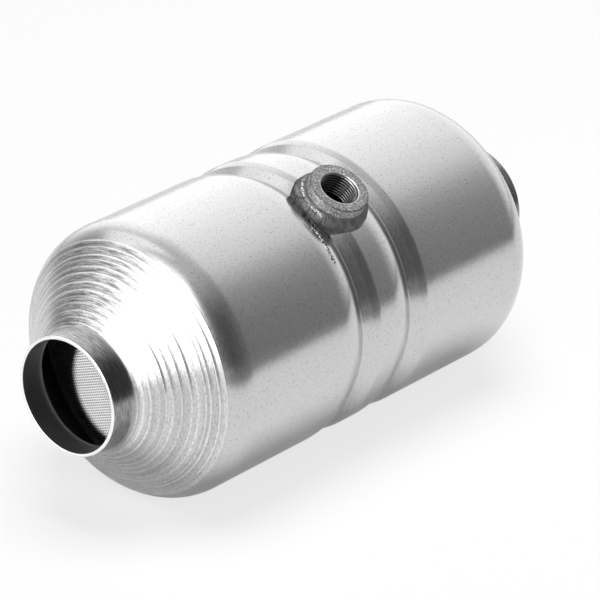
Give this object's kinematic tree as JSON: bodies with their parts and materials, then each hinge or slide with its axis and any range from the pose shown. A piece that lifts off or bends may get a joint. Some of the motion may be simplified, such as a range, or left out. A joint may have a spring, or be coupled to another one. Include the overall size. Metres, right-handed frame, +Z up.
{
  "type": "catalytic converter",
  "caption": "Round spun-shell catalytic converter with conical ends, slip-on necks, rolled grooves and a welded, threaded oxygen sensor boss.",
  "frame": {"origin": "centre of the inlet neck's mouth", "axes": "+X along the gas flow from the inlet to the outlet, +Z up with the sensor boss above, 30 degrees from +Z towards -Y"},
  "size_m": [0.2794, 0.127, 0.132],
  "materials": {
    "stainless_shell": "satin spun stainless steel, ridged on the cones",
    "substrate": "matt coated ceramic honeycomb",
    "fibre_mat": "matt pressed ceramic fibre",
    "boss_steel": "rough turned and scaled steel, bright at the thread's mouth",
    "weld_bead": "dark rippled weld bead"
  },
  "bodies": {
    "root": {"shell": "stainless_shell", "front_substrate": "substrate", "rear_substrate": "substrate", "front_mat": "fibre_mat", "rear_mat": "fibre_mat", "sensor_boss": "boss_steel", "boss_weld": "weld_bead"}
  },
  "joints": []
}
